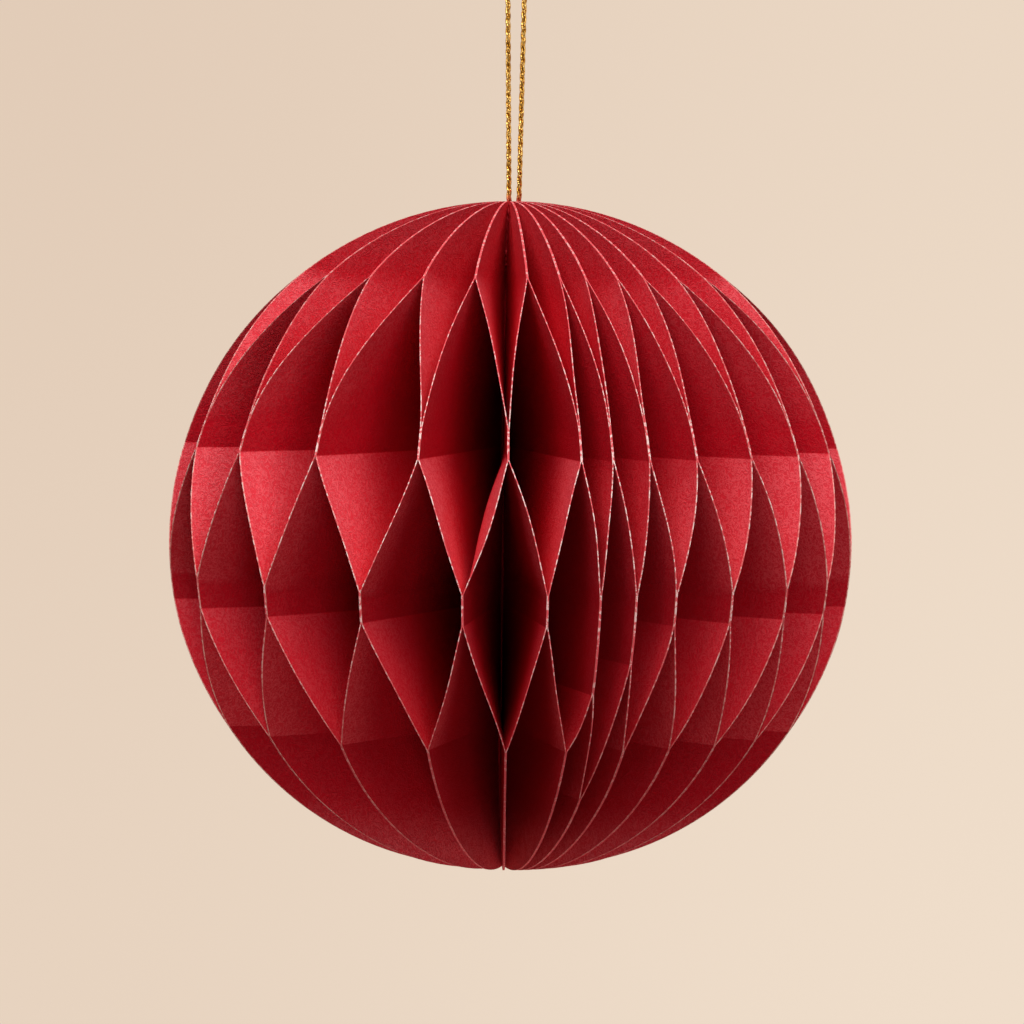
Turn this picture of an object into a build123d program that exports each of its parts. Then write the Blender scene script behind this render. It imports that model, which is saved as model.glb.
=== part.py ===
from build123d import *
from math import atan2, cos, pi, radians, sin, sqrt, tan
import os

# Honeycomb paper ball: paper leaves glued in alternating strips and fanned
# round an open core, hung on a loop of cord. The origin is half way up the ball
# on its upright axis, +Z is up and the front of the ball faces -Y.

# Ball, mm
ball_radius = 50.0
core_radius = 2.25

# Paper, mm
paper_thickness = 0.13
glue_film = 0.02
strip_width = 4.4

# Cord, mm
cord_diameter = 0.8
leg_spacing_at_knot = 1.24
loop_width = 2.6
loop_rise = 36.2
knot_depth = 6.8
knot_length = 3.6
knot_clearance = 0.25
cord_seat_gap = 0.02
loop_arc_share = 0.48
knot_neck_share = 0.7

# Heights of the glued rows A to D above the origin, as shares of the ball's radius
row_height_shares = (0.801, 0.305, -0.149, -0.595)

# Fan of the leaves, in degrees round the axis from the front, to the right.
# Each list runs over the pairs of leaves that are seen from the front.
pair_count = 22
first_core_azimuth = -95.0
row_a_azimuths = [-82, -58.5, -40.5, -24, -10, 3.5, 12, 19, 28, 36.5, 48.5, 62, 80]
row_b_azimuths = [-70.5, -53, -34.5, -15.5, -0.5, 11.6, 17, 23.5, 32.5, 44.5, 58, 72.5]
row_c_azimuths = [-85, -63.5, -43.5, -24.5, -7.5, 6, 14.5, 20.5, 27.5, 38.5, 51.5, 65.5, 83.5]
row_d_azimuths = [-75, -54, -34, -15.5, -0.5, 11, 16.5, 22.5, 32.5, 44, 57, 75.5]

# Worked out
full_turn = 360.0
pair_pitch = full_turn / pair_count
half_strip = strip_width / 2
equator_height = -core_radius / 2
lower_radius = ball_radius - core_radius
crown_height = equator_height + sqrt(ball_radius**2 - core_radius**2)
bottom_height = equator_height - lower_radius
row_heights = [share * ball_radius for share in row_height_shares]
row_a_height, row_b_height, row_c_height, row_d_height = row_heights


def outline_radius(height):
    """Radius of the ball at a height: a quarter circle about the axis above the equator,
    and below it a smaller quarter circle about the leaf's straight edge."""
    rise = height - equator_height
    if rise >= 0:
        return sqrt(ball_radius**2 - rise**2)
    return core_radius + sqrt(lower_radius**2 - rise**2)


def bearing(azimuth):
    """Unit vector that points outwards at an azimuth."""
    return Vector(sin(radians(azimuth)), -cos(radians(azimuth)), 0)


def edge_point(point, along):
    """The point of the ball's outline that a level line from a point reaches."""
    ahead = point.X * along.X + point.Y * along.Y
    short = outline_radius(point.Z) ** 2 - point.X**2 - point.Y**2
    return point + along * (sqrt(ahead**2 + short) - ahead)


def all_round(front):
    """The azimuths of every pair: the front ones as listed, the rest spread evenly over the back."""
    hidden = pair_count - len(front)
    step = (front[0] + full_turn - front[-1]) / (hidden + 1)
    return front + [front[-1] + step * (number + 1) for number in range(hidden)]


def glue_lines(front, height, first_core):
    """One row's glue lines, pair by pair: where each starts at the core, and the way it runs out."""
    lines = []
    for number, azimuth in enumerate(all_round(front)):
        start = bearing(first_core + pair_pitch * number) * core_radius
        outer = bearing(azimuth) * outline_radius(height)
        lines.append((start, (outer - start).normalized()))
    return lines


# Rows A and C join the same pairs of leaves, and rows B and D join the pairs
# between them. A pair of rows A and C comes just before the pair of the same
# number in rows B and D.
row_a = glue_lines(row_a_azimuths, row_a_height, first_core_azimuth - pair_pitch / 2)
row_b = glue_lines(row_b_azimuths, row_b_height, first_core_azimuth)
row_c = glue_lines(row_c_azimuths, row_c_height, first_core_azimuth - pair_pitch / 2)
row_d = glue_lines(row_d_azimuths, row_d_height, first_core_azimuth)


def leaf_rails(lines, sides, normal):
    """The level lines at which a leaf folds, from the top down: inner end, outer end and direction.

    lines are the glue lines of rows A to D, and sides says whether the leaf lies
    after (+1) or before (-1) each of them as the azimuth grows."""
    feet = []
    rails = []
    for (start, along), side, height in zip(lines, sides, row_heights):
        setback = glue_film / 2 if side > 0 else -glue_film / 2 - paper_thickness
        foot = start + normal * setback
        feet.append(foot)
        for level in (height + half_strip, height - half_strip):
            inner = foot + Vector(0, 0, level)
            rails.append((inner, edge_point(inner, along), along))
    # Above row A and below row D the pairs stay together up to the poles.
    crown = feet[0] + Vector(0, 0, crown_height)
    base = feet[-1] + Vector(0, 0, bottom_height)
    return [(crown, crown, lines[0][1]), *rails[1:-1], (base, base, lines[-1][1])]


def curved_facet(begin, end, along, others):
    """A flat facet with one edge that follows the ball's outline."""
    with BuildLine() as rim:
        ThreePointArc(begin, edge_point((begin + end) / 2, along), end)
        Polyline(end, *others, begin)
    return Face(rim.wire())


def leaf_facets(rails):
    """A leaf's first face: one flat facet at each glued strip and two between strips."""
    facets = []
    for number, (upper, lower) in enumerate(zip(rails, rails[1:])):
        inner_up, outer_up, along = upper
        inner_down, outer_down, _ = lower
        if number % 2 == 0:
            corners = [end for end in (inner_down, inner_up) if end not in (outer_up, outer_down)]
            facets.append(curved_facet(outer_up, outer_down, along, corners))
        else:
            facets.append(curved_facet(outer_up, outer_down, along, [inner_up]))
            facets.append(Face(Wire.make_polygon([inner_up, outer_down, inner_down])))
    return facets


os.makedirs("parts", exist_ok=True)

# Leaves, two to each pair of rows A and C
for pair in range(pair_count):
    before = [row_a[pair], row_b[pair - 1], row_c[pair], row_d[pair - 1]]
    after = [row_a[pair], row_b[pair], row_c[pair], row_d[pair]]
    for turn, lines, sides in ((1, before, (-1, 1, -1, 1)), (2, after, (1, -1, 1, -1))):
        middle = sum((along for _, along in lines), Vector(0, 0, 0)).normalized()
        normal = Vector(-middle.Y, middle.X, 0)
        facets = leaf_facets(leaf_rails(lines, sides, normal))
        with BuildPart() as leaf:
            for facet in facets:
                extrude(facet, amount=paper_thickness, dir=normal)
        leaf.part.label = f"paper_leaf_{2 * pair + turn:02d}"
        export_step(leaf.part, f"parts/{leaf.part.label}.step")

# Knot, inside the core, that stops the cord
knot_top_height = crown_height - knot_depth
knot_radius = core_radius - knot_clearance
knot_neck = knot_radius * knot_neck_share
knot_bottom_height = knot_top_height - knot_length
with BuildPart() as knot:
    with BuildSketch(Plane.XZ):
        with BuildLine():
            neck_up = (knot_neck, knot_top_height)
            belly = (knot_radius, knot_top_height - knot_length / 2)
            neck_down = (knot_neck, knot_bottom_height)
            ThreePointArc(neck_up, belly, neck_down)
            Polyline(neck_down, (0, knot_bottom_height), (0, knot_top_height), neck_up)
        make_face()
    revolve(axis=Axis.Z)
knot.part.label = "cord_knot"
export_step(knot.part, "parts/cord_knot.step")

# Cord, up from the knot, round a small hook and back
loop_top_height = crown_height + loop_rise
leg_foot_height = knot_top_height + cord_seat_gap
cord_route = [
    (-leg_spacing_at_knot / 2, leg_foot_height),
    (-loop_width / 2, loop_top_height),
    (loop_width / 2, loop_top_height),
    (leg_spacing_at_knot / 2, leg_foot_height),
]
leg_lean = atan2((loop_width - leg_spacing_at_knot) / 2, loop_top_height - leg_foot_height)
loop_turn = pi / 2 + leg_lean
loop_arc_radius = loop_arc_share * loop_width / tan(loop_turn / 2)
with BuildPart() as cord:
    with BuildLine(Plane.XZ) as route:
        FilletPolyline(*cord_route, radius=loop_arc_radius)
    with BuildSketch(Plane(origin=route.line @ 0, z_dir=route.line % 0)):
        Circle(cord_diameter / 2)
    sweep(path=route.line)
cord.part.label = "hanging_cord"
export_step(cord.part, "parts/hanging_cord.step")

cord_length = sum(edge.length for edge in route.edges())
cord_section = pi * cord_diameter**2 / 4
print("cord length", round(cord_length, 2), "arc radius", round(loop_arc_radius, 3))
print("cord volume", round(cord.part.volume, 4), "section x length", round(cord_section * cord_length, 4))
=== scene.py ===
"""Honeycomb paper ball: leaves of red paper glued in alternating strips, fanned round
an open core and hung on a loop of gold cord. All lengths are metres."""
from math import cos, pi, radians, sin

import bpy
import numpy as np
from bpy.props import FloatProperty, FloatVectorProperty, IntProperty, PointerProperty
from mathutils import Matrix, Vector


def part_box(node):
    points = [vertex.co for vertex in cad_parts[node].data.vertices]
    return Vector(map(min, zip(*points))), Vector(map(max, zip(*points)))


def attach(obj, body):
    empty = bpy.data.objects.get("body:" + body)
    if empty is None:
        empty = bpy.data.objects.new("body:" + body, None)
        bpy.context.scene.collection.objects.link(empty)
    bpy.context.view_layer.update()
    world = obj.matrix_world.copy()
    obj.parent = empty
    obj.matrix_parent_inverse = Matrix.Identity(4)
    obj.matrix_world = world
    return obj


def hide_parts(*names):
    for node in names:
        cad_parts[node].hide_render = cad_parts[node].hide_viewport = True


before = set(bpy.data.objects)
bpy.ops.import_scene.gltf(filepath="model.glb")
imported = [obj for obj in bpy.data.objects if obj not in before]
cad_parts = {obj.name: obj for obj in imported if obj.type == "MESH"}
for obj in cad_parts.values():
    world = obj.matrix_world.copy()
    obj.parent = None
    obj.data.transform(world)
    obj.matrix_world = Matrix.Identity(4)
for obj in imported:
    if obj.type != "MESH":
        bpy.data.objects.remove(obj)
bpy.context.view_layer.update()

bl_info = {
    "name": "Honeycomb paper ball",
    "version": (1, 0, 0),
    "blender": (4, 5, 0),
    "location": "View3D > Sidebar > Paper ball",
    "description": "Fans glued paper leaves into a ball and hangs it on a twisted cord",
    "category": "Add Mesh",
}

# Fan of the leaves: degrees round the axis from the front, to the right, for the
# pairs of leaves that face the front. The rest are spread evenly over the back.
ROW_A = (-82, -58.5, -40.5, -24, -10, 3.5, 12, 19, 28, 36.5, 48.5, 62, 80)
ROW_B = (-70.5, -53, -34.5, -15.5, -0.5, 11.6, 17, 23.5, 32.5, 44.5, 58, 72.5)
ROW_C = (-85, -63.5, -43.5, -24.5, -7.5, 6, 14.5, 20.5, 27.5, 38.5, 51.5, 65.5, 83.5)
ROW_D = (-75, -54, -34, -15.5, -0.5, 11, 16.5, 22.5, 32.5, 44, 57, 75.5)
ROW_SHARES = (0.801, 0.305, -0.149, -0.595)
FIRST_CORE = -95.0

# Stretches of a leaf from the crown down, glued strips and free bands in turn: rows of
# faces, and whether the rows crowd at the upper and at the lower end. The paper has a
# sharp crease where they do.
STRETCHES = (
    (14, True, False),
    (14, False, False),
    (6, False, True),
    (20, True, False),
    (6, False, True),
    (26, True, True),
    (34, True, True),
)
REACH_COLUMNS = 18
NO_BOWS = (0.0, 0.0, 0.0)

# Share of the first free band over which a leaf starts to turn, far inside the ball.
SOFT_START = 0.22

# How the free bands below rows A, B and C bend on their way down, at the left and at
# the right of the ball, for the leaf before a pair and the leaf after it: above 0 a
# band turns early, below 0 late.
BAND_BENDS = {
    "before": ((0.72, 0.9), (0.25, 0.25), (-0.3, -0.4)),
    "after": ((0.75, 0.75), (-0.28, -0.28), (0.1, -0.4)),
}
LEAF_BENDS = {12: (0.75, 0.45, -0.15)}

# Degrees that the pairs turn towards the front on their way to the crown and the base.
POLE_TURNS = (2.5, 3.5)

# Shares of the core's radius by which the leaves close in at the crown and at the base.
POLE_GATHERS = (0.35, 0.47)

# Pairs that stay pressed together below row C, and one that meets late above row D,
# as heights in shares of the ball's radius.
LATE_SPLITS = {6: -0.385, 7: -0.3}
LATE_MEETINGS = {6: -0.7}

# Leaves that bow sideways in a free band: leaf number, then the bows of its bands
# in millimetres, to the right above 0.
LEAF_BOWS = {10: (0.0, -1.5, -0.4), 11: (0.2, -0.9, 0.4)}

# Slow waves along the edge of a leaf: how many are added up, and between which numbers of
# radians per metre they are drawn.
WAVE_COUNT = 3
WAVE_NUMBERS = (90, 200)

# The cord's route: x and z of the points that the hook and the knot set.
CORD_ROUTE = (
    (-0.00062, 0.042044),
    (-0.001224, 0.0802),
    (-0.0013, 0.085024),
    (0.0013, 0.085024),
    (0.001224, 0.0802),
    (0.00062, 0.042044),
)
ROUTE_STEPS = 64

# The loop of cord lies in the plane across this direction.
ACROSS_CORD = np.array([0.0, 1.0, 0.0])

# Steps along the cord in one turn of a strand, points along the knot and sides of a tube.
LAY_STEPS = 24
KNOT_POINTS = 160
TUBE_SIDES = 8

# Edges of a sheet and of a tube that are sharper than this stay sharp.
SHEET_SHARP = radians(50)
TUBE_SHARP = radians(60)

# Scales of the patterns, in turns per metre.
CLOUD_SCALE = 240.0
GRAIN_SCALE = 3200.0
FIBRE_SCALE = 1400.0
FLECK_SCALE = 1500.0
DENT_SCALE = 2200.0

# Where the paper's colours set in and where they are full, by the way from the middle of
# the ball, by the height above it and by the level way in from the cut. They place the
# painted highlight, stronger towards the outline and in the upper half, the painted rim light
# along the outline, the paler crown and base, and the painted shade of the lower half.
OUTER_PART = (0.03, 0.049)
OUTER_MARGIN = (0.04, 0.05)
UPPER_HALF = (-0.018, 0.008)
PALE_CROWN = (0.03, 0.046)
PALE_BASE = (-0.048, -0.036)
SHADE_CLEARS = (0.005, 0.035)
DYED_CROWN_EDGE = (0.01, 0.04)
DYED_BASE_EDGE = (-0.04, 0.005)
FRAYED_WIDTH = (0.00006, 0.0002)

# Heights over which the cord comes out of the ball; below them it is painted in the paper's red and
# made matte, as painted shade.
GOLD_ABOVE_SHADE = (0.0485, 0.0505)

# Lean of the frayed fibres on the cut edge.
FIBRE_LEAN = (0.0, 0.0, 0.7)

# Where the backdrop grows bright, by the parts of the camera's rays to the right and up,
# and how far towards the front shiny threads mirror it.
BRIGHT_RIGHT = (-0.11, 0.11)
DARK_ABOVE = (-0.165, 0.05)
MIRRORED_BACK = (-1.0, -0.3)
FILL_COLOUR = (1.0, 0.95, 0.9, 1.0)

# Corners of the round floor, and the share of its radius at which it starts to fade.
FLOOR_CORNERS = 128
FLOOR_FADE = 0.25
SENSOR_WIDTH = 36.0


class BallSizes(bpy.types.PropertyGroup):
    """Sizes of the paper ball."""

    radius: FloatProperty(
        name="Radius", description="Radius of the ball", default=0.05, unit="LENGTH")
    core_radius: FloatProperty(
        name="Core radius", description="Radius of the open core", default=0.00225, unit="LENGTH")
    pair_count: IntProperty(
        name="Pairs", description="Pairs of leaves round the ball", default=22)
    paper_thickness: FloatProperty(
        name="Paper", description="Thickness of a leaf", default=0.00013, unit="LENGTH")
    glue_film: FloatProperty(
        name="Glue", description="Gap that the glue fills", default=0.00002, unit="LENGTH")
    strip_width: FloatProperty(
        name="Strip", description="Height of a glued strip", default=0.0044, unit="LENGTH")
    ripple: FloatProperty(
        name="Ripple", description="How far a free band waves", default=0.00012, unit="LENGTH")


class BallColours(bpy.types.PropertyGroup):
    """Colours of the paper ball and its cord."""

    paper: FloatVectorProperty(
        name="Paper", description="Face of the paper", default=(0.65, 0.004, 0.016),
        subtype="COLOR")
    # Darker red painted as shade on paper of the lower half that doesn't face up.
    shade_red: FloatVectorProperty(
        name="Deep red", description="Paper of the lower half that doesn't face up",
        default=(0.42, 0.0025, 0.01), subtype="COLOR")
    # Paler red painted on paper that faces up, as highlight; the cut edge's dye takes it too.
    highlight_and_dye_red: FloatVectorProperty(
        name="Highlight and dye red", description="Paper that faces up", default=(0.76, 0.046, 0.064),
        subtype="COLOR")
    fibre: FloatVectorProperty(
        name="Fibres", description="Paler fibres in the paper", default=(0.95, 0.17, 0.19),
        subtype="COLOR")
    cut_edge: FloatVectorProperty(
        name="Cut edge", description="Pale core of the paper where it is cut",
        default=(0.98, 0.84, 0.78), subtype="COLOR")
    frayed: FloatVectorProperty(
        name="Frayed edge", description="Half dyed fibres along the cut",
        default=(1.0, 0.5, 0.44), subtype="COLOR")
    gold: FloatVectorProperty(
        name="Gold", description="Metallic thread of the cord", default=(1.0, 0.68, 0.22),
        subtype="COLOR")
    dull_gold: FloatVectorProperty(
        name="Dull gold", description="Thread between the glints", default=(0.5, 0.24, 0.025),
        subtype="COLOR")


class CordSizes(bpy.types.PropertyGroup):
    """Sizes of the hanging cord."""

    diameter: FloatProperty(
        name="Diameter", description="Diameter over the strands", default=0.0008, unit="LENGTH")
    length: FloatProperty(
        name="Length", description="Length from knot to knot", default=0.0875, unit="LENGTH")
    strands: IntProperty(
        name="Strands", description="Strands twisted into the cord", default=3)
    lay: FloatProperty(
        name="Lay", description="Length of one turn of a strand", default=0.0045, unit="LENGTH")


class StageSettings(bpy.types.PropertyGroup):
    """Camera, light and background."""

    distance: FloatProperty(
        name="Distance", description="Camera to the middle of the ball", default=0.7035,
        unit="LENGTH")
    elevation: FloatProperty(
        name="Elevation", description="Camera above the level", default=radians(3.67),
        subtype="ANGLE")
    roll: FloatProperty(
        name="Roll", description="Turn of the camera", default=radians(0.61), subtype="ANGLE")
    lens: FloatProperty(
        name="Lens", description="Focal length in millimetres", default=168.42)
    aim: FloatVectorProperty(
        name="Aim", description="Point in the middle of the picture",
        default=(0.00019, 0.0, 0.00332), subtype="XYZ", unit="LENGTH")
    key_watts: FloatProperty(
        name="Key light", description="Power of the soft box above the camera", default=30.0,
        unit="POWER")
    key_elevation: FloatProperty(
        name="Key elevation", description="Key light above the level", default=radians(68.0),
        subtype="ANGLE")
    key_azimuth: FloatProperty(
        name="Key azimuth", description="Key light to the right of the front",
        default=radians(-1.0), subtype="ANGLE")
    key_distance: FloatProperty(
        name="Key distance", description="Key light to the ball", default=1.3, unit="LENGTH")
    key_width: FloatProperty(
        name="Key width", description="Side of the soft box", default=1.5, unit="LENGTH")
    front_watts: FloatProperty(
        name="Front light", description="Power of the weaker soft box below the camera",
        default=2.6, unit="POWER")
    front_place: FloatVectorProperty(
        name="Front place", description="Place of the front light", default=(0.156, -1.014, -0.468),
        subtype="XYZ", unit="LENGTH")
    front_width: FloatProperty(
        name="Front width", description="Side of the front light", default=0.375, unit="LENGTH")
    fill: FloatProperty(
        name="Fill", description="Strength of the even light from all round", default=0.05)
    backdrop: FloatVectorProperty(
        name="Backdrop", description="Background at the upper left", default=(0.76, 0.604, 0.479),
        subtype="COLOR")
    backdrop_bright: FloatVectorProperty(
        name="Bright backdrop", description="Background at the lower right",
        default=(0.863, 0.723, 0.591), subtype="COLOR")
    floor: FloatVectorProperty(
        name="Floor", description="Colour of the floor", default=(0.65, 0.55, 0.44),
        subtype="COLOR")
    floor_drop: FloatProperty(
        name="Floor drop", description="Floor below the middle of the ball", default=0.65,
        unit="LENGTH")
    floor_radius: FloatProperty(
        name="Floor radius", description="Radius of the round floor", default=1.2, unit="LENGTH")


class Wire:
    """A socket in a node tree. Arithmetic on wires adds Math nodes."""

    def __init__(self, tree, socket=None):
        self.tree = tree
        self.socket = socket

    def node(self, kind, settings=None, inputs=None, output=0):
        """Adds a node, applies its settings, then sets or links its sockets. Returns one output."""
        node = self.tree.nodes.new(kind)
        for name, value in (settings or {}).items():
            setattr(node, name, value)
        for name, value in (inputs or {}).items():
            if isinstance(value, Wire):
                self.tree.links.new(value.socket, node.inputs[name])
            else:
                node.inputs[name].default_value = value
        return Wire(self.tree, node.outputs[output])

    def math(self, operation, *values):
        """A Math node on wires or numbers."""
        return self.node("ShaderNodeMath", {"operation": operation}, dict(enumerate(values)))

    def mix(self, below, above):
        """Colour that goes from below to above as this value goes from 0 to 1."""
        sides = [side if isinstance(side, Wire) else (*side, 1.0) for side in (below, above)]
        inputs = {0: self, 6: sides[0], 7: sides[1]}
        return self.node("ShaderNodeMix", {"data_type": "RGBA"}, inputs, output=2)

    def between(self, low, high):
        """0 below low, 1 above high and smooth between them."""
        settings = {"interpolation_type": "SMOOTHSTEP"}
        return self.node("ShaderNodeMapRange", settings, {0: self, 1: low, 2: high})

    def __add__(self, other):
        return self.math("ADD", self, other)

    def __sub__(self, other):
        return self.math("SUBTRACT", self, other)

    def __rsub__(self, other):
        return self.math("SUBTRACT", other, self)

    def __mul__(self, other):
        return self.math("MULTIPLY", self, other)

    __radd__ = __add__
    __rmul__ = __mul__


def noise(wire, place, scale, detail=2.0, roughness=0.5, distortion=0.0):
    """Noise of a scale in turns per metre, about 0.5."""
    inputs = {
        "Vector": place, "Scale": scale, "Detail": detail, "Roughness": roughness,
        "Distortion": distortion}
    return wire.node("ShaderNodeTexNoise", {}, inputs)


def new_material(name):
    """An empty material's Principled shader and a wire to build on."""
    material = bpy.data.materials.new(name)
    material.use_nodes = True
    tree = material.node_tree
    return material, tree.nodes["Principled BSDF"], Wire(tree)


def set_finish(shader, **values):
    """Sets or links the shader's sockets, underscores in place of spaces."""
    for name, value in values.items():
        socket = shader.inputs[name.replace("_", " ")]
        if isinstance(value, Wire):
            value.tree.links.new(value.socket, socket)
        else:
            socket.default_value = value


def paper_face(colours):
    """Dyed red paper, with light and shade painted into its colour. A paler red is painted as
    highlight where it faces up, weaker in the lower half and towards the core; a paler band
    is painted as light along the outline where it doesn't face up; the crown and the base are
    paler; and a darker red is painted as shade in the lower half where it doesn't face up.
    Curly paler fibres are the lines on which a twisted noise passes its middle value and show
    more where the highlight is painted, and half dyed ones show where the cut has frayed. A
    felt-like grain raises the surface."""
    material, shader, wire = new_material("paper_face")
    place = wire.node("ShaderNodeTexCoord", output=3)
    cloud = noise(wire, place, CLOUD_SCALE, 3.0).between(0.3, 0.7)
    grain = noise(wire, place, GRAIN_SCALE, 3.0, 0.65)
    curl = noise(wire, place, FIBRE_SCALE, 1.0, 0.5, 1.4) - 0.5
    fibres = 1.0 - curl.math("ABSOLUTE", curl).between(0.0, 0.13)
    rise = wire.node("ShaderNodeAttribute", {"attribute_name": "rise"}, output=2)
    height = wire.node("ShaderNodeSeparateXYZ", {}, {0: place}, output=2)
    way_out = wire.node("ShaderNodeVectorMath", {"operation": "LENGTH"}, {0: place}, output=1)
    # Painted highlight: stronger towards the outline and in the upper half, with a painted band of
    # rim light along the outline where the paper doesn't face up; the crown and the base are paler
    # too.
    outer = way_out.between(*OUTER_PART)
    above = 0.25 + height.between(*UPPER_HALF) * 0.75
    painted_rim_light = way_out.between(*OUTER_MARGIN) * (0.05 + (0.0 - rise).between(0.0, 0.3) * 0.35)
    highlight_and_pale_poles = rise.between(0.0, 0.32) * above + painted_rim_light + height.between(*PALE_CROWN) * 0.4
    highlight_and_pale_poles = highlight_and_pale_poles + 1.0 - height.between(*PALE_BASE)
    highlight_and_pale_poles = (0.02 + highlight_and_pale_poles) * (0.1 + outer * 0.9) * (0.85 + cloud * 0.15)
    highlight_and_pale_poles = highlight_and_pale_poles.math("MINIMUM", highlight_and_pale_poles, 1.0)
    # Painted shade: a darker red in the lower half where the paper doesn't face up.
    painted_shade = (1.0 - height.between(*SHADE_CLEARS)) * (1.0 - rise.between(-0.05, 0.2))
    red = highlight_and_pale_poles.mix(painted_shade.mix(colours.paper, colours.shade_red), colours.highlight_and_dye_red)
    red = (fibres * (0.03 + highlight_and_pale_poles * 0.45)).mix(red, colours.fibre)
    inset = wire.node("ShaderNodeAttribute", {"attribute_name": "inset"}, output=2)
    flecks = noise(wire, place, FLECK_SCALE, 2.0, 0.6).between(0.58, 0.46)
    frayed = (1.0 - inset.between(*FRAYED_WIDTH)) * (0.35 + flecks * 0.5)
    red = frayed.mix(red, colours.frayed)
    bump = wire.node(
        "ShaderNodeBump", {}, {"Strength": 0.5, "Distance": 0.0001, "Height": grain * 0.5 + fibres})
    set_finish(shader, Base_Color=red, Roughness=0.8, Specular_IOR_Level=0.03, Normal=bump)
    return material


def paper_cut(colours):
    """The cut edge: the paper's pale core, flecked where the dye reached it and redder
    towards the poles. Frayed fibres stand up on it, so its shading normal leans upwards."""
    material, shader, wire = new_material("paper_cut")
    place = wire.node("ShaderNodeTexCoord", output=3)
    height = wire.node("ShaderNodeSeparateXYZ", {}, {0: place}, output=2)
    dyed = 0.2 + noise(wire, place, FLECK_SCALE, 2.0, 0.6).between(0.4, 0.56) * 0.75
    dyed = dyed + height.between(*DYED_CROWN_EDGE) * 0.4
    dyed = dyed + (1.0 - height.between(*DYED_BASE_EDGE)) * 0.6
    pale = dyed.math("MINIMUM", dyed, 0.95).mix(colours.cut_edge, colours.highlight_and_dye_red)
    facing = wire.node("ShaderNodeNewGeometry", output="Normal")
    facing = wire.node("ShaderNodeVectorMath", {}, {0: facing, 1: FIBRE_LEAN})
    facing = wire.node("ShaderNodeVectorMath", {"operation": "NORMALIZE"}, {0: facing})
    set_finish(shader, Base_Color=pale, Roughness=0.8, Specular_IOR_Level=0.1, Normal=facing)
    return material


def gold_thread(colours):
    """Metallic yarn: bright foil with darker stretches between the glints. Inside the ball
    the thread is painted in the paper's red and made matte, as painted shade."""
    material, shader, wire = new_material("gold_thread")
    place = wire.node("ShaderNodeTexCoord", output=3)
    height = wire.node("ShaderNodeSeparateXYZ", {}, {0: place}, output=2)
    dents = noise(wire, place, DENT_SCALE, 2.0)
    # Below these heights, inside the ball, the cord is painted in the paper's red and made matte,
    # as painted shade.
    unshaded_gold = height.between(*GOLD_ABOVE_SHADE)
    foil = dents.between(0.4, 0.62).mix(colours.dull_gold, colours.gold)
    bump = wire.node("ShaderNodeBump", {}, {"Strength": 1.0, "Distance": 0.0002, "Height": dents})
    set_finish(
        shader, Base_Color=unshaded_gold.mix(colours.paper, foil), Metallic=unshaded_gold,
        Roughness=0.7 - unshaded_gold * 0.5, Normal=bump)
    return material


def bearing(degrees):
    """Unit vectors that point outwards at azimuths, one row for each."""
    angle = np.radians(degrees)
    return np.stack([np.sin(angle), -np.cos(angle)], axis=-1)


def outline_radius(height, sizes):
    """The ball's radius at heights: a quarter circle about the axis above the equator,
    and below it a smaller quarter circle about the leaves' straight edge."""
    rise = height + sizes.core_radius / 2
    upper = np.sqrt(np.maximum(sizes.radius**2 - rise**2, 0))
    lower_radius = sizes.radius - sizes.core_radius
    lower = sizes.core_radius + np.sqrt(np.maximum(lower_radius**2 - rise**2, 0))
    return np.where(rise >= 0, upper, lower)


def glue_lines(front, height, first_core, sizes):
    """One row's glue lines, pair by pair: their starts at the core and their directions."""
    hidden = sizes.pair_count - len(front)
    back = np.linspace(front[-1], front[0] + 360, hidden + 2)[1:-1]
    core = first_core + 360 / sizes.pair_count * np.arange(sizes.pair_count)
    start = bearing(core) * sizes.core_radius
    outer = bearing(np.concatenate([front, back])) * outline_radius(height, sizes)
    along = outer - start
    return start, along / np.linalg.norm(along, axis=1, keepdims=True)


def row_shares(count, crowd_upper, crowd_lower):
    """Shares of the way down a stretch at which its rows of faces begin."""
    even = np.arange(count) / count
    if crowd_upper and crowd_lower:
        return (1 - np.cos(pi * even)) / 2
    if crowd_upper:
        return 1 - np.cos(pi / 2 * even)
    return np.sin(pi / 2 * even) if crowd_lower else even


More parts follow.
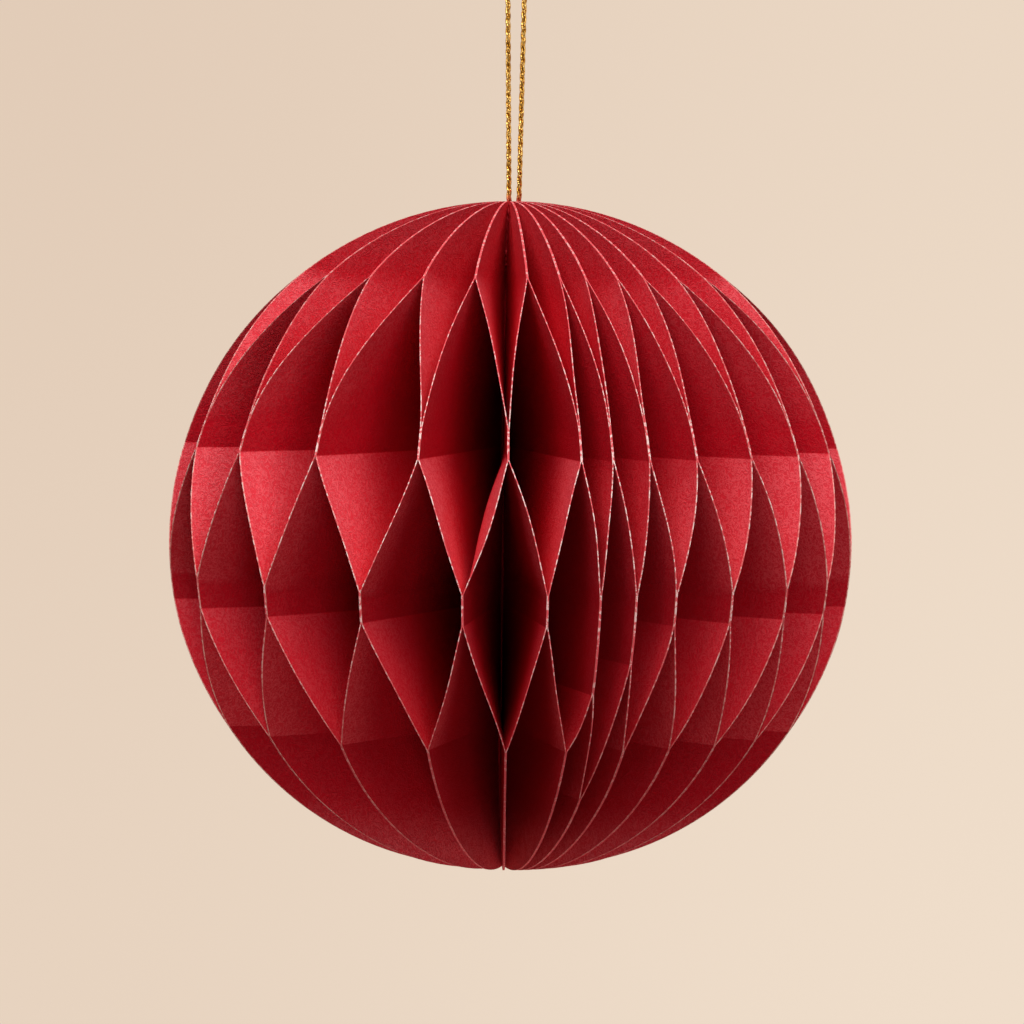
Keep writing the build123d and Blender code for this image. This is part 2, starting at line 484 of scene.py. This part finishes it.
def leaf_surface(lines, sides, folds, bends, bows, draw, sizes):
    """Middle surface of a leaf, rows from the top down and columns from the core out, with
    its normals and the level way from each point to the outline.

    At each height a level line runs from the core to the ball's outline. In a glued
    strip it is the row's glue line, set to the leaf's side of the glue. In a free band
    it turns from one row's line to the next by s + bend s (1 - s), where s is the share
    of the way down, eased below row A so that the turn starts softly inside, and bows
    sideways by bow 16 s (1 - s) u^2 (1 - u^2), where u is the share of the way out. A slow
    wave along the edge dies out at the strips. On the front half, the lines turn on towards
    the front by turn p^2 sin 2a, where p is the share of the way to a pole and a the
    azimuth. Their starts close in on the axis by gather p^2 of the core's radius."""
    counts = [count for count, _, _ in STRETCHES]
    stretch = np.append(np.repeat(np.arange(len(counts)), counts), len(counts) - 1)
    share = np.concatenate([*(row_shares(*spacing) for spacing in STRETCHES), [1.0]])
    height = folds[stretch] + (folds[stretch + 1] - folds[stretch]) * share
    bend = np.zeros(len(counts))
    bend[1::2] = bends
    bow = np.zeros(len(counts))
    bow[1::2] = bows
    out = np.linspace(0, 1, REACH_COLUMNS + 1)
    soft = np.where(stretch == 1, SOFT_START, 0.0)[:, None] * (1 - out**2)
    eased = (np.hypot(share[:, None], soft) - soft) / (np.hypot(1, soft) - soft)
    is_free = stretch % 2 == 1
    free = np.where(is_free, 4 * share * (1 - share), 0.0)[:, None]
    turned = eased + bend[stretch][:, None] * eased * (1 - eased)
    weight = np.where(is_free[:, None], turned, 0.0)[..., None]
    row = stretch // 2
    next_row = np.where(is_free, row + 1, row)
    starts = np.array([start for start, _ in lines])
    alongs = np.array([along for _, along in lines])
    offsets = np.array(sides)[:, None] * (sizes.glue_film + sizes.paper_thickness) / 2

    def between_rows(values):
        """A row's values, turning into the next row's in a free band."""
        return values[row][:, None] * (1 - weight) + values[next_row][:, None] * weight

    along = between_rows(alongs)
    azimuth = np.arctan2(along[..., 0], -along[..., 1])
    to_pole = np.where(stretch == 0, 1 - share, np.where(stretch == len(counts) - 1, share, 0.0))
    turn = np.radians(np.where(stretch == 0, *POLE_TURNS) * to_pole**2)[:, None]
    gather = (np.where(stretch == 0, *POLE_GATHERS) * to_pole**2)[:, None, None]
    azimuth -= np.where(np.cos(azimuth) > 0, turn * np.sin(2 * azimuth), 0.0)
    along = np.stack([np.sin(azimuth), -np.cos(azimuth)], axis=-1)
    normal = np.stack([-along[..., 1], along[..., 0]], axis=-1)
    start = between_rows(starts) * (1 - gather) + normal * between_rows(offsets)
    ahead = (start * along).sum(axis=2)
    short = outline_radius(height, sizes)[:, None] ** 2 - (start**2).sum(axis=2)
    reach = np.sqrt(np.maximum(ahead**2 + short, 0)) - ahead

    waves = draw.uniform(*WAVE_NUMBERS, WAVE_COUNT)
    turns = draw.uniform(0, 2 * pi, WAVE_COUNT)
    wave = np.sin(height[:, None] * waves + turns).sum(axis=1)[:, None]
    bowed = bow[stretch][:, None] * 4 * out**2 * (1 - out**2)
    aside = free * (bowed + sizes.ripple * wave * out**2)
    plan = start + along * (reach * out)[..., None] + normal * aside[..., None]
    level = np.broadcast_to(height[:, None, None], (*plan.shape[:2], 1))
    return np.concatenate([plan, level], axis=2), normal, reach * (1 - out)


def sheet_mesh(name, middle, normal, inset, thickness):
    """Closed mesh of a sheet: its middle surface moved half the thickness to each side.
    The rim along the last column takes the second material. The attribute rise is the
    upward part of the unit vector that points out of the paper, and inset is the level
    way to the rim."""
    rows, columns = middle.shape[:2]
    shift = np.zeros((rows, columns, 3))
    shift[..., :2] = normal * thickness / 2
    points = np.stack([middle - shift, middle + shift]).reshape(-1, 3)
    before, after = np.arange(2 * rows * columns).reshape(2, rows, columns)

    def quads(*corners):
        return np.stack([corner.ravel() for corner in corners], axis=1)

    def side(grid):
        return quads(grid[:-1, :-1], grid[:-1, 1:], grid[1:, 1:], grid[1:, :-1])

    def rim(one, two):
        return quads(one[:-1], one[1:], two[1:], two[:-1])

    cut_rim = rim(before[:, -1], after[:, -1])
    faces = [
        side(before)[:, ::-1],
        side(after),
        rim(after[:, 0], before[:, 0]),
        rim(before[0], after[0]),
        rim(after[-1], before[-1]),
        cut_rim,
    ]
    mesh = bpy.data.meshes.new(name)
    mesh.from_pydata(points, [], np.concatenate(faces))
    slots = np.zeros(len(mesh.polygons), dtype=np.int32)
    slots[-len(cut_rim):] = 1
    mesh.polygons.foreach_set("material_index", slots)
    facing = np.cross(np.gradient(middle, axis=0), np.gradient(middle, axis=1))
    rise = facing[..., 2] / np.maximum(np.linalg.norm(facing, axis=2), 1e-12)
    rise *= np.sign((facing[..., :2] * normal).sum(axis=2))
    for field, values in (("rise", [-rise, rise]), ("inset", [inset, inset])):
        mesh.attributes.new(field, "FLOAT", "POINT").data.foreach_set("value", np.ravel(values))
    mesh.shade_smooth()
    mesh.set_sharp_from_angle(angle=SHEET_SHARP)
    return mesh


def tube_mesh(name, tubes, radius, sides=TUBE_SIDES):
    """Closed mesh of round tubes, each given as a path and a direction that stays across it.
    A circle is carried along the path in the plane across it."""
    points = []
    faces = []
    turn = 2 * pi * np.arange(sides)[:, None] / sides
    for path, guide in tubes:
        ahead = np.gradient(path, axis=0)
        ahead /= np.linalg.norm(ahead, axis=1, keepdims=True)
        across = np.cross(ahead, guide)
        across /= np.linalg.norm(across, axis=1, keepdims=True)
        up = np.cross(across, ahead)
        ring = across[:, None] * np.cos(turn) + up[:, None] * np.sin(turn)
        first = sum(len(part) for part in points)
        grid = first + np.arange(len(path) * sides).reshape(len(path), sides)
        points.append((path[:, None] + radius * ring).reshape(-1, 3))
        beside = np.roll(grid, -1, axis=1)
        walls = np.stack([grid[:-1], grid[1:], beside[1:], beside[:-1]], axis=-1).reshape(-1, 4)
        faces += [*walls.tolist(), grid[0].tolist(), grid[-1, ::-1].tolist()]
    mesh = bpy.data.meshes.new(name)
    mesh.from_pydata(np.concatenate(points), [], faces)
    mesh.shade_smooth()
    mesh.set_sharp_from_angle(angle=TUBE_SHARP)
    return mesh


def add_piece(name, mesh, slot, materials, *nodes):
    """Puts a finished mesh into the scene in place of CAD nodes."""
    piece = bpy.data.objects.new(name, mesh)
    bpy.context.scene.collection.objects.link(piece)
    for material in materials:
        mesh.materials.append(material)
    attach(piece, "root")
    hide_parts(*nodes)
    return piece


def cord_line():
    """Points along the cord, read from a NURBS spline that the route's points steer."""
    curve = bpy.data.curves.new("cord_route", "CURVE")
    curve.dimensions = "3D"
    spline = curve.splines.new("NURBS")
    spline.points.add(len(CORD_ROUTE) - 1)
    for point, (x, z) in zip(spline.points, CORD_ROUTE):
        point.co = (x, 0.0, z, 1.0)
    spline.order_u = 3
    spline.use_endpoint_u = True
    spline.resolution_u = ROUTE_STEPS
    route = bpy.data.objects.new("cord_route", curve)
    mesh = bpy.data.meshes.new_from_object(route)
    points = np.empty(3 * len(mesh.vertices))
    mesh.vertices.foreach_get("co", points)
    bpy.data.meshes.remove(mesh)
    bpy.data.objects.remove(route)
    bpy.data.curves.remove(curve)
    return points.reshape(-1, 3)


def spaced(points, step):
    """The same line at even steps, and the way along it to each point."""
    run = np.linalg.norm(np.diff(points, axis=0), axis=1)
    way = np.concatenate([[0.0], np.cumsum(run)])
    even = np.linspace(0, way[-1], int(way[-1] / step) + 1)
    return np.stack([np.interp(even, way, part) for part in points.T], axis=1), even


def twisted_strands(line, way, cord, strand_radius):
    """Middle lines of the strands: each stands off the cord's line by a fixed orbit and goes
    round it once in a lay."""
    orbit = cord.diameter / 2 - strand_radius
    ahead = np.gradient(line, axis=0)
    ahead /= np.linalg.norm(ahead, axis=1, keepdims=True)
    across = np.cross(ahead, ACROSS_CORD)
    strands = []
    for number in range(cord.strands):
        turn = 2 * pi * (way / cord.lay + number / cord.strands)[:, None]
        strands.append(line + orbit * (across * np.cos(turn) + ACROSS_CORD * np.sin(turn)))
    return strands


class PAPERBALL_OT_cord(bpy.types.Operator):
    """Twist the hanging cord along its loop and wind its knot"""

    bl_idname = "paper_ball.cord"
    bl_label = "Hang the cord"

    def execute(self, context):
        cord = context.scene.cord_sizes
        gold = gold_thread(context.scene.ball_colours)
        line, way = spaced(cord_line(), cord.lay / LAY_STEPS)
        # Round strands that touch their neighbours and fill the cord's diameter.
        strand_radius = cord.diameter / 2 / (1 + 1 / sin(pi / cord.strands))
        strands = twisted_strands(line, way, cord, strand_radius)
        mesh = tube_mesh("cord_strands", [(path, ACROSS_CORD) for path in strands], strand_radius)
        piece = add_piece("cord_strands", mesh, "cord", [gold], "hanging_cord")

        low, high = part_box("cord_knot")
        winding = cord.diameter / 2
        coil_radius = (high.x - low.x) / 2 - winding
        rise = high.z - low.z - cord.diameter
        share = np.linspace(0, 1, KNOT_POINTS)
        angle = 2 * pi * rise / cord.diameter * share
        level = high.z - winding - share * rise
        coil = np.stack([coil_radius * np.cos(angle), coil_radius * np.sin(angle), level], axis=1)
        stem = coil * (0.0, 0.0, 1.0)
        tubes = [(coil, (0.0, 0.0, 1.0)), (stem, ACROSS_CORD)]
        knot_mesh = tube_mesh("knot_windings", tubes, winding)
        knot = add_piece("knot_windings", knot_mesh, "cord", [gold], "cord_knot")
        return {"FINISHED"}


class PAPERBALL_OT_leaves(bpy.types.Operator):
    """Fold every leaf between its glue lines and fan them round the core"""

    bl_idname = "paper_ball.leaves"
    bl_label = "Fan the leaves"

    def execute(self, context):
        sizes = context.scene.ball_sizes
        colours = context.scene.ball_colours
        materials = [paper_face(colours), paper_cut(colours)]
        half_strip = sizes.strip_width / 2
        pitch = 360 / sizes.pair_count
        levels = [share * sizes.radius for share in ROW_SHARES]
        rows = [
            glue_lines(front, level, first, sizes)
            for front, level, first in zip(
                (ROW_A, ROW_B, ROW_C, ROW_D), levels,
                (FIRST_CORE - pitch / 2, FIRST_CORE, FIRST_CORE - pitch / 2, FIRST_CORE))
        ]
        low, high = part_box("paper_leaf_01")
        tip = sizes.glue_film / 2
        a, b, c, d = levels
        for pair in range(sizes.pair_count):
            for turn, word, sides in ((1, "before", (-1, 1, -1, 1)), (2, "after", (1, -1, 1, -1))):
                number = 2 * pair + turn
                other = pair - 1 if word == "before" else pair
                picks = (pair, other, pair, other)
                lines = [(row[0][pick], row[1][pick]) for row, pick in zip(rows, picks)]
                split = LATE_SPLITS.get(pair)
                meeting = LATE_MEETINGS.get(other)
                folds = np.array([
                    high.z - tip,
                    a - half_strip,
                    b + half_strip,
                    b - half_strip,
                    c + half_strip,
                    c - half_strip if split is None else split * sizes.radius,
                    d + half_strip if meeting is None else meeting * sizes.radius,
                    low.z + tip,
                ])
                to_right = (1 + np.mean([along[0] for _, along in lines])) / 2
                bends = [left + (right - left) * to_right for left, right in BAND_BENDS[word]]
                bends = LEAF_BENDS.get(number, bends)
                bows = np.array(LEAF_BOWS.get(number, NO_BOWS)) / 1000
                draw = np.random.default_rng(number)
                surface = leaf_surface(lines, sides, folds, bends, bows, draw, sizes)
                name = f"leaf_{number:02d}"
                mesh = sheet_mesh(name, *surface, sizes.paper_thickness)
                add_piece(name, mesh, "paper", materials, f"paper_leaf_{number:02d}")
        return {"FINISHED"}


def soft_box(name, place, width, watts):
    """A square area light that faces the middle of the ball."""
    light = bpy.data.lights.new(name, "AREA")
    light.size = width
    light.energy = watts
    lamp = bpy.data.objects.new(name, light)
    lamp.location = place
    lamp.rotation_euler = (-Vector(place)).to_track_quat("-Z", "Y").to_euler()
    bpy.context.scene.collection.objects.link(lamp)


def light_world(stage):
    """Faint even light from all round. The camera sees the plain backdrop in its place, a
    little brighter to the right and below, and shiny threads mirror it, less of it towards
    the front."""
    world = bpy.data.worlds.new("studio")
    world.use_nodes = True
    bpy.context.scene.world = world
    tree = world.node_tree
    wire = Wire(tree)
    way = wire.node("ShaderNodeTexCoord")
    right = wire.node("ShaderNodeSeparateXYZ", {}, {0: way}, output=0).between(*BRIGHT_RIGHT)
    above = wire.node("ShaderNodeSeparateXYZ", {}, {0: way}, output=2).between(*DARK_ABOVE)
    shade = (right * 0.62 + (1.0 - above) * 0.38).mix(stage.backdrop, stage.backdrop_bright)
    shown = wire.node("ShaderNodeBackground", {}, {0: shade, 1: 1.0})
    lighting = wire.node("ShaderNodeBackground", {}, {0: FILL_COLOUR, 1: stage.fill})
    behind = wire.node("ShaderNodeSeparateXYZ", {}, {0: way}, output=1).between(*MIRRORED_BACK)
    mirrored = wire.node("ShaderNodeLightPath", output="Is Glossy Ray") * behind
    seen = wire.node("ShaderNodeLightPath") + mirrored
    seen = seen.math("MINIMUM", seen, 1.0)
    both = wire.node("ShaderNodeMixShader", {}, {0: seen, 1: lighting, 2: shown})
    tree.links.new(both.socket, tree.nodes["World Output"].inputs[0])


def lay_floor(stage):
    """A round pale floor far below the ball that takes its soft shadow. Towards its border
    the camera sees it in the colour of the backdrop."""
    angle = np.linspace(0, 2 * pi, FLOOR_CORNERS, endpoint=False)
    border = stage.floor_radius * np.stack([np.cos(angle), np.sin(angle), 0 * angle], axis=1)
    mesh = bpy.data.meshes.new("floor")
    mesh.from_pydata(border - (0, 0, stage.floor_drop), [], [range(len(angle))])
    floor = bpy.data.objects.new("floor", mesh)
    bpy.context.scene.collection.objects.link(floor)
    material, shader, wire = new_material("floor")
    set_finish(shader, Base_Color=(*stage.floor, 1.0), Roughness=0.9, Specular_IOR_Level=0.1)
    place = wire.node("ShaderNodeTexCoord", output=3)
    flat = wire.node("ShaderNodeVectorMath", {"operation": "MULTIPLY"}, {0: place, 1: (1, 1, 0)})
    way_out = wire.node("ShaderNodeVectorMath", {"operation": "LENGTH"}, {0: flat}, output=1)
    fade = way_out.between(FLOOR_FADE * stage.floor_radius, stage.floor_radius)
    middle = np.mean([stage.backdrop, stage.backdrop_bright], axis=0)
    glow = wire.node("ShaderNodeEmission", {}, {0: (*middle, 1.0), 1: 1.0})
    seen = wire.node("ShaderNodeLightPath")
    lit = Wire(wire.tree, shader.outputs[0])
    both = wire.node("ShaderNodeMixShader", {}, {0: seen * fade, 1: lit, 2: glow})
    wire.tree.links.new(both.socket, wire.tree.nodes["Material Output"].inputs[0])
    mesh.materials.append(material)


def place_camera(stage, equator):
    """The camera, in front of the ball and a little above its middle."""
    camera = bpy.data.cameras.new("camera")
    camera.lens = stage.lens
    camera.sensor_width = SENSOR_WIDTH
    holder = bpy.data.objects.new("camera", camera)
    bpy.context.scene.collection.objects.link(holder)
    back = Vector((0.0, -cos(stage.elevation), sin(stage.elevation)))
    place = Vector((0.0, 0.0, equator)) + back * stage.distance
    facing = (Vector(stage.aim) - place).to_track_quat("-Z", "Y").to_matrix().to_4x4()
    holder.matrix_world = Matrix.Translation(place) @ facing @ Matrix.Rotation(stage.roll, 4, "Z")
    bpy.context.scene.camera = holder


class PAPERBALL_OT_stage(bpy.types.Operator):
    """Set the camera, the lights, the floor and the background"""

    bl_idname = "paper_ball.stage"
    bl_label = "Set the stage"

    def execute(self, context):
        stage = context.scene.stage_settings
        context.scene.view_settings.view_transform = "Standard"
        place_camera(stage, -context.scene.ball_sizes.core_radius / 2)
        light_world(stage)
        lay_floor(stage)
        level = cos(stage.key_elevation)
        to_key = Vector((
            level * sin(stage.key_azimuth),
            -level * cos(stage.key_azimuth),
            sin(stage.key_elevation),
        ))
        soft_box("key", stage.key_distance * to_key, stage.key_width, stage.key_watts)
        soft_box("front", stage.front_place, stage.front_width, stage.front_watts)
        return {"FINISHED"}


class PAPERBALL_PT_sidebar(bpy.types.Panel):
    """The ball's sizes, colours and making steps"""

    bl_label = "Paper ball"
    bl_idname = "PAPERBALL_PT_sidebar"
    bl_space_type = "VIEW_3D"
    bl_region_type = "UI"
    bl_category = "Paper ball"

    def draw(self, context):
        for name, group in GROUPS.items():
            box = self.layout.box()
            for field in group.__annotations__:
                box.prop(getattr(context.scene, name), field)
        for step in STEPS:
            self.layout.operator(step.bl_idname)


GROUPS = {
    "ball_sizes": BallSizes,
    "ball_colours": BallColours,
    "cord_sizes": CordSizes,
    "stage_settings": StageSettings,
}
STEPS = (PAPERBALL_OT_stage, PAPERBALL_OT_cord, PAPERBALL_OT_leaves)


def register():
    """Registers the classes and puts the property groups on the scene."""
    for part in (*GROUPS.values(), *STEPS, PAPERBALL_PT_sidebar):
        bpy.utils.register_class(part)
    for name, group in GROUPS.items():
        setattr(bpy.types.Scene, name, PointerProperty(type=group))


def unregister():
    """Takes the property groups off the scene and the classes out of Blender."""
    for name in GROUPS:
        delattr(bpy.types.Scene, name)
    for part in (PAPERBALL_PT_sidebar, *STEPS, *GROUPS.values()):
        bpy.utils.unregister_class(part)


def main():
    """Makes the stage and the ball."""
    register()
    bpy.ops.paper_ball.stage()
    bpy.ops.paper_ball.cord()
    bpy.ops.paper_ball.leaves()


if __name__ == "__main__":
    main()
